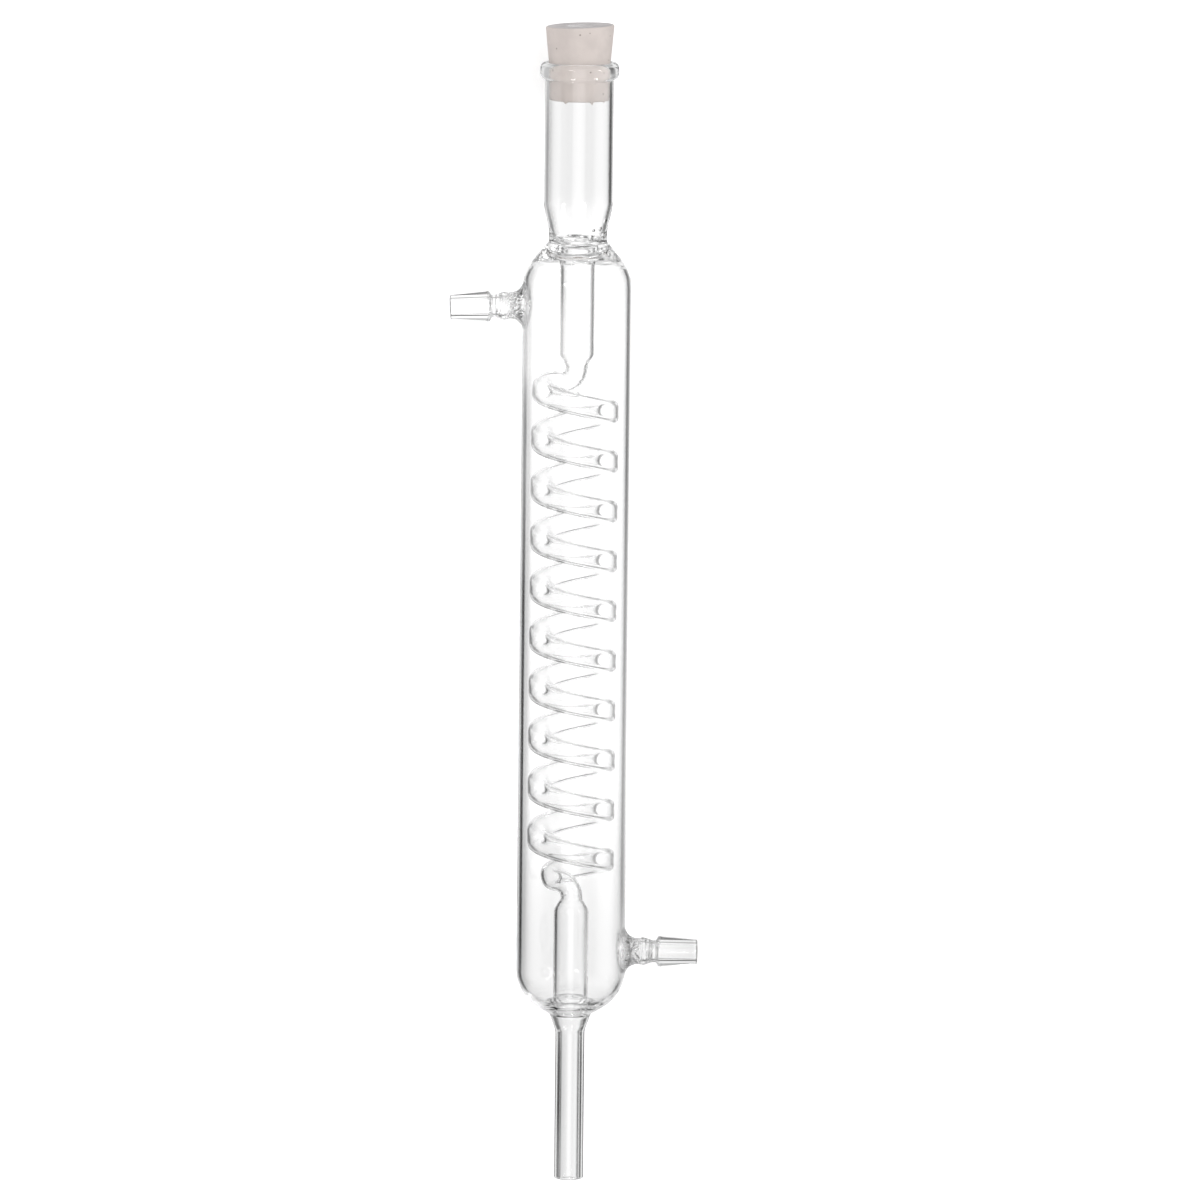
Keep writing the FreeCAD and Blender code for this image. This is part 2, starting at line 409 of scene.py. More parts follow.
def bridge_rims(thing: bpy.types.Object, wanted: Callable[[Vector], bool]) -> None:
    """Bridges the two open rims whose edges have both ends where they are wanted.

    Args:
        thing: The object that holds both rims.
        wanted: Tells whether a point belongs to one of the rims.
    """
    mesh = open_edit(thing, Pick.EDGES)
    for edge in mesh.edges:
        if edge.is_boundary and all(wanted(vert.co) for vert in edge.verts):
            edge.select_set(True)
    bmesh.update_edit_mesh(thing.data)
    bpy.ops.mesh.bridge_edge_loops()
    close_edit()


def delete_faces(thing: bpy.types.Object, wanted: Callable[[Vector], bool]) -> None:
    """Deletes the faces whose middle is where it is wanted.

    Args:
        thing: The object to open.
        wanted: Tells whether a face's middle belongs to what goes.
    """
    mesh = open_edit(thing, Pick.FACES)
    for face in mesh.faces:
        if wanted(face.calc_center_median()):
            face.select_set(True)
    bmesh.update_edit_mesh(thing.data)
    bpy.ops.mesh.delete(type="FACE")
    close_edit()


def lay_down(thing: bpy.types.Object, rest: Rest) -> None:
    """Puts a standing piece into the row frame, with smooth shading.

    Args:
        thing: The piece, which gives its mesh its own name.
        rest: How it is laid down.
    """
    thing.data.name = thing.name
    thing.data.transform(rest.matrix())
    pick_only(thing)
    bpy.ops.object.shade_smooth()


def dress(thing: bpy.types.Object, material: bpy.types.Material) -> None:
    """Gives a piece one material alone and reports it.

    Args:
        thing: The finished piece.
        material: Its material.
    """
    thing.data.materials.clear()
    thing.data.materials.append(material)
    log.info("%s: %d faces", thing.name, len(thing.data.polygons))


@dataclass(frozen=True)
class Turning:
    """Turns rounded profiles about the Z axis.

    Attributes:
        steps: Faces around.
        arc_steps: Faces along a rounded corner.
    """

    steps: int = 128
    arc_steps: int = 8

    def round_corner(self, thing: bpy.types.Object, before: Corner, corner: Corner, after: Corner) -> None:
        """Bevels one vertex of a chain to an arc of its corner's radius.

        Args:
            thing: The chain, in edit mode.
            before: The corner before it.
            corner: The corner to round.
            after: The corner after it.
        """
        place = corner.place()
        half_angle = (before.place() - place).angle(after.place() - place) / 2
        depth = 1 / (1 + math.sin(half_angle))
        bpy.ops.mesh.select_all(action="DESELECT")
        mesh = bmesh.from_edit_mesh(thing.data)
        nearest = min(mesh.verts, key=lambda vert: (vert.co - place).length)
        nearest.select_set(True)
        bmesh.update_edit_mesh(thing.data)
        offset = corner.rounding / math.tan(half_angle)
        bpy.ops.mesh.bevel(affect="VERTICES", offset_type="OFFSET", offset=offset, segments=self.arc_steps,
                           profile=(1 - depth / 2) ** 2, clamp_overlap=False)

    def turn(self, name: str, corners: Sequence[Corner]) -> bpy.types.Object:
        """Turns a profile through a full circle.

        Args:
            name: Name of the new object.
            corners: The profile's corners, in order. It closes where the last is the first again.

        Returns:
            The turned skin, in millimetres about Z.
        """
        pick_none()
        bpy.ops.mesh.primitive_plane_add(size=1)
        thing = bpy.context.object
        thing.name = name
        open_edit(thing)
        bpy.ops.mesh.select_all(action="SELECT")
        bpy.ops.mesh.merge(type="CENTER")
        bpy.ops.transform.translate(value=corners[0].place())
        for before, after in zip(corners, corners[1:]):
            move = {"value": after.place() - before.place()}
            bpy.ops.mesh.extrude_vertices_move(TRANSFORM_OT_translate=move)
        for before, corner, after in zip(corners, corners[1:], corners[2:]):
            if corner.rounding:
                self.round_corner(thing, before, corner, after)
        bpy.ops.mesh.select_all(action="SELECT")
        bpy.ops.mesh.remove_doubles(threshold=MERGE)
        bpy.ops.mesh.spin(steps=self.steps, angle=math.tau, center=(0, 0, 0), axis=(0, 0, 1))
        bpy.ops.mesh.select_all(action="SELECT")
        bpy.ops.mesh.remove_doubles(threshold=MERGE)
        bpy.ops.mesh.normals_make_consistent(inside=False)
        close_edit()
        return thing


@dataclass(frozen=True)
class HoseConnection:
    """A connection with one barb, blown out of the jacket, in millimetres.

    Attributes:
        height: Height of its axis on the jacket's.
        turn: Turn about Y that lays its axis, in degrees.
        reach: From the jacket's axis to its tip.
        jacket_radius: Outer radius of the jacket.
        jacket_bore: Inner radius of the jacket.
        root: Radius of its root.
        bulge: Radius of the swelling beyond the root.
        neck: Radius of the groove before the barb.
        barb: Radius of the barb's crest.
        tip: Radius of its tip.
        bore: Radius of its bore.
        root_bore: Radius of the bore at the root.
        flare: Radius of its fillet on the jacket, outside.
        inner_flare: Radius of its fillet inside.
        hole: Radius of the hole cut in the jacket's outside for it.
        inner_hole: Radius of the hole cut in the jacket's inside.
        overlap: How far its skin reaches into those holes.
        root_share: Where the root ends, as a share of the run from the jacket to the tip.
        crest_share: How far before the tip the crest is, as a share of the same run.
        bulge_share: Place of the swelling beyond the root, as a share of the way to the crest.
        neck_share: How far before the crest the groove begins, as a share of the same way.
        rise_share: How far before the crest the groove ends.
        barb_share: How far before the crest the barb has its full radius.
        bore_share: How far before the crest the bore widens.
        root_bore_share: How far beyond the root it is wide.
        taper: How far before the tip the barb has narrowed to it.
        swell_fillet: Rounding of the root's end and of the swelling.
        neck_fillet: Rounding of the groove's bottom.
        edge: Rounding of the barb's crest and of the tip's edges.
        long_fillet: Rounding of the barb's end and of the bore.
        around: Faces around it.
        cut_steps: Faces around the cutter of its holes.
        cut_start: How far inside the jacket's bore the cutter begins.
        cut_depth: Length of the cutter.
    """

    height: float
    turn: float
    reach: float = 49.0
    jacket_radius: float = 21.0
    jacket_bore: float = 19.3
    root: float = 5.1
    bulge: float = 5.5
    neck: float = 4.35
    barb: float = 6.05
    tip: float = 4.9
    bore: float = 3.0
    root_bore: float = 3.5
    flare: float = 4.62
    inner_flare: float = 1.5
    hole: float = 10.4
    inner_hole: float = 6.0
    overlap: float = 0.5
    root_share: float = 0.19
    crest_share: float = 0.52
    bulge_share: float = 0.22
    neck_share: float = 0.36
    rise_share: float = 0.19
    barb_share: float = 0.07
    bore_share: float = 0.45
    root_bore_share: float = 0.1
    taper: float = 1.6
    swell_fillet: float = 2.0
    neck_fillet: float = 1.5
    edge: float = 0.8
    long_fillet: float = 4.0
    around: int = 64
    cut_steps: int = 96
    cut_start: float = 4.0
    cut_depth: float = 20.0

    def frame(self) -> Matrix:
        """Returns the matrix from its own frame, with Z along its axis, to the standing one."""
        return Matrix.Translation((0, 0, self.height)) @ Matrix.Rotation(math.radians(self.turn), 4, "Y")

    def off_axis(self, point: Vector) -> tuple[float, float]:
        """Returns a standing point's distance from the connection's axis, and its place along it."""
        own = self.frame().inverted() @ point
        return math.hypot(own.x, own.y), own.z

    def holds(self, point: Vector, nearest: float, farthest: float) -> bool:
        """Tells whether a point on its side of the jacket is this far from its axis."""
        away, along = self.off_axis(point)
        return along > 0 and nearest <= away < farthest

    def hole_in(self, skin: Skin) -> float:
        """Returns the radius of the hole that it needs in one skin of the glass."""
        return self.hole if skin is Skin.OUTER else self.inner_hole

    def corners(self) -> list[Corner]:
        """Lists its profile.

        Returns:
            The corners, from the jacket's outside over the tip to the jacket's inside.
        """
        run = self.reach - self.jacket_radius
        root_end = self.jacket_radius + self.root_share * run
        crest = self.reach - self.crest_share * run
        waist = crest - root_end
        return [
            Corner(self.hole - self.overlap, self.jacket_radius),
            Corner(self.root, self.jacket_radius, self.flare),
            Corner(self.root, root_end, self.swell_fillet),
            Corner(self.bulge, root_end + self.bulge_share * waist, self.swell_fillet),
            Corner(self.neck, crest - self.neck_share * waist, self.neck_fillet),
            Corner(self.neck, crest - self.rise_share * waist, self.edge),
            Corner(self.barb, crest - self.barb_share * waist, self.edge),
            Corner(self.tip, self.reach - self.taper, self.long_fillet),
            Corner(self.tip, self.reach, self.edge),
            Corner(self.bore, self.reach, self.edge),
            Corner(self.bore, crest - self.bore_share * waist, self.long_fillet),
            Corner(self.root_bore, root_end + self.root_bore_share * waist, self.long_fillet),
            Corner(self.root_bore, self.jacket_bore, self.inner_flare),
            Corner(self.inner_hole - self.overlap, self.jacket_bore),
        ]

    def drop(self, x: float, y: float, radius: float) -> float:
        """Works out how far the jacket falls away from its top, beside the connection's axis.

        Args:
            x: Place along the jacket, in the connection's frame.
            y: Place across the jacket.
            radius: The jacket's outer or inner radius.

        Returns:
            The height of the jacket's surface there, less its radius.
        """
        angle = math.radians(self.turn)
        side = math.copysign(math.sqrt(radius ** 2 - y ** 2), math.sin(angle))
        return (side - x * math.cos(angle)) / math.sin(angle) - radius

    def build(self) -> bpy.types.Object:
        """Turns it and drapes both of its ends on the jacket.

        Returns:
            Its skin, open at both ends.
        """
        skin = Turning(self.around).turn("hose_connection", self.corners())
        for vert in skin.data.vertices:
            away = math.hypot(vert.co.x, vert.co.y)
            inside = vert.co.z < self.jacket_radius - MERGE and away < self.inner_hole
            radius = self.jacket_bore if inside else self.jacket_radius
            fillet = self.inner_flare if inside else self.flare
            along = clamped((vert.co.z - radius) / fillet)
            vert.co.z += self.drop(vert.co.x, vert.co.y, radius) * (1 - along ** 2 * (3 - 2 * along))
        skin.data.transform(self.frame())
        return skin

    def cut(self, thing: bpy.types.Object, skin: Skin) -> None:
        """Cuts the round hole for the connection in one skin of the jacket.

        Args:
            thing: The closed skin.
            skin: Which of the two it is.
        """
        radius = self.hole_in(skin)
        start = self.jacket_bore - self.cut_start
        middle_of_cut = (0, 0, start + self.cut_depth / 2)
        pick_none()
        bpy.ops.mesh.primitive_cylinder_add(
            vertices=self.cut_steps, radius=radius, depth=self.cut_depth, location=middle_of_cut)
        cutter = bpy.context.object
        cutter.data.transform(self.frame() @ cutter.matrix_world)
        cutter.matrix_world = Matrix.Identity(4)
        pick_only(thing)
        modifier = thing.modifiers.new("hole", "BOOLEAN")
        modifier.operation = "DIFFERENCE"
        modifier.solver = "EXACT"
        modifier.object = cutter
        bpy.ops.object.modifier_apply(modifier=modifier.name)
        bpy.data.objects.remove(cutter)

        def in_pocket(middle: Vector) -> bool:
            """Tells whether a face's middle is on the wall or the floor of the cut."""
            away, along = self.off_axis(middle)
            return away < radius + SLACK and start - SLACK < along

        delete_faces(thing, in_pocket)


@dataclass(frozen=True)
class Coil:
    """The tube that winds down from the upper cup to the lower one, in millimetres.

    Its section is flat toward the jacket and round toward the axis, and it is round at the cups.

    Attributes:
        pitch: Height of one turn.
        turns: How many turns it has.
        start_angle: Where its top begins about the long axis, in degrees.
        radius: From the coil's own axis to the middle of its tube.
        offset: How far its axis lies to the left of the jacket's.
        lead: How far its tube runs straight on from the helix to the corner of the first bend.
        top: Height of the helix's upper end.
        tube_radius: Radius of the tube where it is round.
        half_width: Half the width of the wound tube, outward.
        half_height: Half its height.
        flatness: Power of the curve that its outer side follows, two for a round one.
        wall: Thickness of its wall.
        steps: Faces along one turn.
        bend_steps: Faces along one bend.
        nudge: Part of a turn over which its direction is measured.
        tube_around: Faces around the tube's outside.
        bore_around: Faces around its bore.
    """

    pitch: float = 19.36
    turns: float = 9.744
    start_angle: float = 200.0
    radius: float = 12.9
    offset: float = 0.5
    lead: float = 12.0
    top: float = 307.552
    tube_radius: float = 4.2
    half_width: float = 3.95
    half_height: float = 4.5
    flatness: float = 4.5
    wall: float = 1.0
    steps: int = 62
    bend_steps: int = 12
    nudge: float = 1e-4
    tube_around: int = 32
    bore_around: int = 28

    def helix_point(self, turns: float) -> tuple[Vector, Vector]:
        """Finds a point of the helix.

        Args:
            turns: How many turns it is below the top.

        Returns:
            The point, and the way outward there.
        """
        angle = math.radians(self.start_angle + 360 * turns)
        outward = Vector((math.cos(angle), math.sin(angle), 0))
        return outward * self.radius + Vector((-self.offset, 0, self.top - self.pitch * turns)), outward

    def bends(self, upward: bool) -> list[Vector]:
        """Lists the points of the two bends beyond one end of the helix, from the helix to the cup.

        Args:
            upward: Whether it is the upper end.

        Returns:
            The points, without either end.
        """
        turns = 0 if upward else self.turns
        step = -self.nudge if upward else self.nudge
        end = self.helix_point(turns)[0]
        tangent = (self.helix_point(turns + step)[0] - end).normalized()
        corner = end + tangent * self.lead
        level = Vector((0, 0, corner.z))
        rest = (level - corner).length - self.lead
        cup = level + Vector((0, 0, rest if upward else -rest))
        return self.arc(end, corner, level, self.lead) + self.arc(corner, level, cup, rest)[:-1]

    def arc(self, before: Vector, corner: Vector, after: Vector, reach: float) -> list[Vector]:
        """Lists the points of the arc that rounds a corner, without its first.

        Args:
            before: A point on the side the arc comes from.
            corner: The corner.
            after: A point on the side it leads to.
            reach: From the corner to either end of the arc.

        Returns:
            The points in order.
        """
        one = (before - corner).normalized()
        other = (after - corner).normalized()
        half_angle = one.angle(other) / 2
        centre = corner + (one + other).normalized() * (reach / math.cos(half_angle))
        spoke = corner + one * reach - centre
        axis = spoke.cross(corner + other * reach - centre).normalized()
        sweep = math.pi - 2 * half_angle
        return [centre + Matrix.Rotation(sweep * i / self.bend_steps, 3, axis) @ spoke
                for i in range(1, self.bend_steps + 1)]

    def path(self) -> list[tuple[Vector, Vector | None]]:
        """Lists the centreline's points from the upper cup down.

        Returns:
            Each point, with the way outward where it is helical.
        """
        count = round(self.steps * self.turns)
        helix = [self.helix_point(self.turns * i / count) for i in range(count + 1)]
        upper = [(point, None) for point in reversed(self.bends(True))]
        lower = [(point, None) for point in self.bends(False)]
        return upper + helix + lower

    def frames(self) -> list[tuple[Vector, Vector, Vector, float]]:
        """Works out how the section stands along the path.

        Returns:
            Each centre, its outward and upward ways, and how far its section is the coil's own.
        """
        path = self.path()
        points = [point for point, outward in path]
        tangents = [(points[min(i + 1, len(points) - 1)] - points[max(i - 1, 0)]).normalized()
                    for i in range(len(points))]
        outwards = [outward for point, outward in path]
        first = next(i for i, outward in enumerate(outwards) if outward)
        last = len(outwards) - 1 - next(i for i, outward in enumerate(reversed(outwards)) if outward)
        for i in range(first - 1, -1, -1):
            outwards[i] = tangents[i + 1].rotation_difference(tangents[i]) @ outwards[i + 1]
        for i in range(last + 1, len(outwards)):
            outwards[i] = tangents[i - 1].rotation_difference(tangents[i]) @ outwards[i - 1]
        frames = []
        for i, (point, tangent, outward) in enumerate(zip(points, tangents, outwards)):
            beyond = max(first - i, i - last, 0) / self.bend_steps
            outward = (outward - tangent * outward.dot(tangent)).normalized()
            frames.append((point, outward, tangent.cross(outward), max(1 - beyond, 0)))
        return frames

    def section(self, angle: float, inset: float, own: float) -> tuple[float, float]:
        """Finds one point of the tube's section.

        Args:
            angle: The way to the point from the middle, zero outward.
            inset: How far inside the outer surface it lies.
            own: One for the coil's own section, zero for a round one.

        Returns:
            Its place outward and upward.
        """
        across, up = math.cos(angle), math.sin(angle)
        power = self.flatness if across > 0 else 2
        flat = ((abs(across) / (self.half_width - inset)) ** power
                + (abs(up) / (self.half_height - inset)) ** power) ** (-1 / power)
        radius = own * flat + (1 - own) * (self.tube_radius - inset)
        return radius * across, radius * up

    def skin(self, name: str, inset: float, around: int) -> bpy.types.Object:
        """Sweeps one skin of the tube.

        Args:
            name: Name of the new object.
            inset: How far inside the outer surface it lies.
            around: Faces around.

        Returns:
            The skin, open at both ends.
        """
        frames = self.frames()
        curve = bpy.data.curves.new(name, "CURVE")
        curve.dimensions = "3D"
        curve.bevel_depth = self.tube_radius - inset
        # A round bevel has four sides, and two more for each step of its resolution
        curve.bevel_resolution = (around - 4) // 2
        line = curve.splines.new("POLY")
        line.points.add(len(frames) - 1)
        for point, frame in zip(line.points, frames):
            point.co = (*frame[0], 1)
        thing = bpy.data.objects.new(name, curve)
        bpy.context.scene.collection.objects.link(thing)
        pick_only(thing)
        bpy.ops.object.convert(target="MESH")
        thing = bpy.context.object
        for vert in thing.data.vertices:
            point, outward, upward, own = frames[vert.index // around]
            x, y = self.section(math.tau * (vert.index % around) / around, inset, own)
            vert.co = point + outward * x + upward * y
        return thing


@dataclass(frozen=True)
class CondenserGlass:
    """All the glass of the condenser, fused into one piece, in millimetres.

    A bend is given as its height over the seal, rim or cup end that it belongs to, and its rounding.

    Attributes:
        lower_seal: Height of the lower ring seal.
        upper_seal: Height of the upper ring seal.
        rim: Height of the neck's rim.
        upper_cup_end: Where the upper cup has narrowed to the coil's tube.
        lower_cup_end: The same for the lower cup.
        jacket: Radius of the jacket.
        jacket_bore: Its inner radius.
        stem: Radius of the stem.
        stem_bore: Its inner radius.
        stem_flare: Radius at which the stem's flare meets the lower dome.
        neck: Radius of the neck.
        neck_bore: Its inner radius.
        bead: Radius of the bead on the neck's rim.
        waist: Radius of the waist under the neck.
        waist_bore: Its inner radius.
        seal_lip: How much narrower the waist's bore is at the upper seal.
        cup: Radius of both cups.
        cup_bore: Their inner radius.
        tube: Radius of the coil's tube where it meets the cups.
        tube_bore: Its inner radius.
        cup_taper: Bend from a cup to its narrowing, up from the upper cup's end.
        cup_throat: Bend from the narrowing to the coil's tube.
        cup_mouth: Bend of the lower cup's bore at the seal.
        stem_mouth: Bend at the top of the stem's bore.
        stem_edge: Rounding of both edges of the stem's tip.
        stem_top: Bend from the stem to its flare.
        stem_seal: Bend from the flare to the lower dome.
        dome: Bend from the lower dome to the jacket.
        shoulder: Bend from the jacket to the upper dome.
        waist_foot: Bend from the upper dome to the waist.
        waist_top: Bend from the waist to the neck.
        neck_foot: Bend at the bottom of the neck.
        bead_foot: Bend from the neck to the bead.
        bead_base: Bend at the bead's lower side.
        bead_edge: Rounding of the bead's upper side.
        lip: Rounding of the rim's inner edge.
        neck_floor: Bend at the bottom of the neck's bore.
        waist_roof: Bend at the top of the waist's bore.
        waist_floor: Bend at its bottom.
        upper_cup_mouth: Bend of the upper cup's bore at the seal.
        water_upper_seal: Bend on the water's side of the upper seal.
        water_shoulder: Bend of the jacket's bore to the upper dome.
        water_dome: Bend of the jacket's bore to the lower dome.
        water_lower_seal: Bend on the water's side of the lower seal.
        upper_hose: Height of the upper hose connection over the upper seal, and its turn.
        lower_hose: The same of the lower one, over the lower seal.
    """

    lower_seal: float = 63.6
    upper_seal: float = 363.6
    rim: float = 434.0
    upper_cup_end: float = 316.2
    lower_cup_end: float = 110.289
    jacket: float = 21.0
    jacket_bore: float = 19.3
    stem: float = 5.7
    stem_bore: float = 3.7
    stem_flare: float = 8.0
    neck: float = 13.2
    neck_bore: float = 11.85
    bead: float = 15.15
    waist: float = 11.25
    waist_bore: float = 9.35
    seal_lip: float = 0.5
    cup: float = 6.7
    cup_bore: float = 5.6
    tube: float = 4.2
    tube_bore: float = 3.2
    cup_taper: tuple = (5.0, 4.0)
    cup_throat: tuple = (1.0, 2.5)
    cup_mouth: tuple = (0.5, 4.0)
    stem_mouth: tuple = (-6.0, 5.0)
    stem_edge: float = 0.9
    stem_top: tuple = (-5.5, 6.0)
    stem_seal: tuple = (0.9, 2.5)
    dome: tuple = (8.8, 17.0)
    shoulder: tuple = (-10.4, 16.0)
    waist_foot: tuple = (1.2, 1.5)
    waist_top: tuple = (5.5, 10.0)
    neck_foot: tuple = (14.5, 12.0)
    bead_foot: tuple = (-6.8, 0.8)
    bead_base: tuple = (-5.4, 2.3)
    bead_edge: float = 2.2
    lip: float = 1.0
    neck_floor: tuple = (15.0, 12.0)
    waist_roof: tuple = (5.0, 8.0)
    waist_floor: tuple = (1.8, 2.5)
    upper_cup_mouth: tuple = (-2.6, 2.5)
    water_upper_seal: tuple = (-2.9, 2.5)
    water_shoulder: tuple = (-6.5, 12.0)
    water_dome: tuple = (8.5, 13.5)
    water_lower_seal: tuple = (3.8, 2.5)
    upper_hose: tuple = (-23.0, -92.0)
    lower_hose: tuple = (25.6, 90.0)

    def cup_corners(self, tube: float, cup: float, upward: bool) -> list[Corner]:
        """Lists the profile where the coil's tube widens to a cup.

        Args:
            tube: Radius of the tube's skin.
            cup: Radius of the cup's skin.
            upward: Whether it is the upper cup, which opens upward.

        Returns:
            The corners from the tube to the cup.
        """
        sign = 1 if upward else -1
        end = self.upper_cup_end if upward else self.lower_cup_end
        return [
            Corner(tube, end),
            Corner(tube, end + sign * self.cup_throat[0], self.cup_throat[1]),
            Corner(cup, end + sign * self.cup_taper[0], self.cup_taper[1]),
        ]

    def outer_corners(self) -> list[Corner]:
        """Lists the profile of the skin that air and vapour touch, closed through the coil's bore.

        Returns:
            The corners, the first one again at the end.
        """
        low, high, rim = self.lower_seal, self.upper_seal, self.rim
        lower_cup, upper_cup = [self.cup_corners(self.tube_bore, self.cup_bore, upward)
                                for upward in (False, True)]
        return [
            *lower_cup,
            bent(self.cup_bore, low, self.cup_mouth),
            bent(self.stem_bore, low, self.stem_mouth),
            Corner(self.stem_bore, 0, self.stem_edge),
            Corner(self.stem, 0, self.stem_edge),
            bent(self.stem, low, self.stem_top),
            bent(self.stem_flare, low, self.stem_seal),
            bent(self.jacket, low, self.dome),
            bent(self.jacket, high, self.shoulder),
            bent(self.waist, high, self.waist_foot),
            bent(self.waist, high, self.waist_top),
            bent(self.neck, high, self.neck_foot),
            bent(self.neck, rim, self.bead_foot),
            bent(self.bead, rim, self.bead_base),
            Corner(self.bead, rim, self.bead_edge),
            Corner(self.neck_bore, rim, self.lip),
            bent(self.neck_bore, high, self.neck_floor),
            bent(self.waist_bore, high, self.waist_roof),
            bent(self.waist_bore - self.seal_lip, high, self.waist_floor),
            bent(self.cup_bore, high, self.upper_cup_mouth),
            *reversed(upper_cup),
            lower_cup[0],
        ]

    def water_corners(self) -> list[Corner]:
        """Lists the profile of the skin that water touches, closed through the coil's tube.

        Returns:
            The corners, the first one again at the end.
        """
        low, high = self.lower_seal, self.upper_seal
        lower_cup, upper_cup = [self.cup_corners(self.tube, self.cup, upward) for upward in (False, True)]
        return [
            *upper_cup,
            bent(self.cup, high, self.water_upper_seal),
            bent(self.jacket_bore, high, self.water_shoulder),
            bent(self.jacket_bore, low, self.water_dome),
            bent(self.cup, low, self.water_lower_seal),
            *reversed(lower_cup),
            upper_cup[0],
        ]

    def skin(self, which: Skin, corners: list[Corner], tube: float,
             coil: bpy.types.Object) -> bpy.types.Object:
        """Turns one skin, cuts it open for the hose connections and runs it on into the coil.

        Args:
            which: Which of the two skins it is.
            corners: Its profile.
            tube: Radius of the coil's skin that it runs into.
            coil: That skin of the coil.

        Returns:
            The skin with the coil's.
        """
        thing = Turning().turn(which.value, corners)
        for hose in self.hoses():
            hose.cut(thing, which)
        low, high = self.lower_cup_end, self.upper_cup_end

        def in_tube(middle: Vector) -> bool:
            """Tells whether a face's middle is on the stretch that the coil stands for."""
            return low < middle.z < high and math.hypot(middle.x, middle.y) < tube + SLACK

        delete_faces(thing, in_tube)
        thing = joined([thing, coil])
        for height in (low, high):
            end = Vector((0, 0, height))
            bridge_rims(thing, lambda point: (point - end).length < 2 * tube)
        return thing

    def hoses(self) -> list[HoseConnection]:
        """Lists the hose connections.

        Returns:
            The upper one to the left, drooping a little, and the lower one to the right.
        """
        upper, lower = self.upper_hose, self.lower_hose
        return [HoseConnection(self.upper_seal + upper[0], upper[1]),
                HoseConnection(self.lower_seal + lower[0], lower[1])]

    def build(self, rest: Rest) -> bpy.types.Object:
        """Builds the whole piece in the row frame.

        Args:
            rest: How it is laid down.

        Returns:
            The piece, which stands for its solid.
        """
        coil = Coil()
        bore = coil.skin("coil_bore", coil.wall, coil.bore_around)
        outer = self.skin(Skin.OUTER, self.outer_corners(), self.tube_bore, bore)
        tube = coil.skin("coil_tube", 0.0, coil.tube_around)
        water = self.skin(Skin.WATER, self.water_corners(), self.tube, tube)
        glass = joined([outer, water, *[hose.build() for hose in self.hoses()]])
        for hose in self.hoses():
            between = (hose.inner_hole + hose.hole) / 2
            for reach in ((between, hose.hole + RIM_SLACK), (0, between)):
                bridge_rims(glass, lambda point: hose.holds(point, *reach))
        open_edit(glass)
        bpy.ops.mesh.select_all(action="SELECT")
        bpy.ops.mesh.normals_make_consistent(inside=False)
        close_edit()
        glass.name = "blown_glass"
        lay_down(glass, rest)
        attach(glass, "root")
        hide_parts("condenser_glass")
        dress(glass, ClearGlass().material(rest))
        return glass


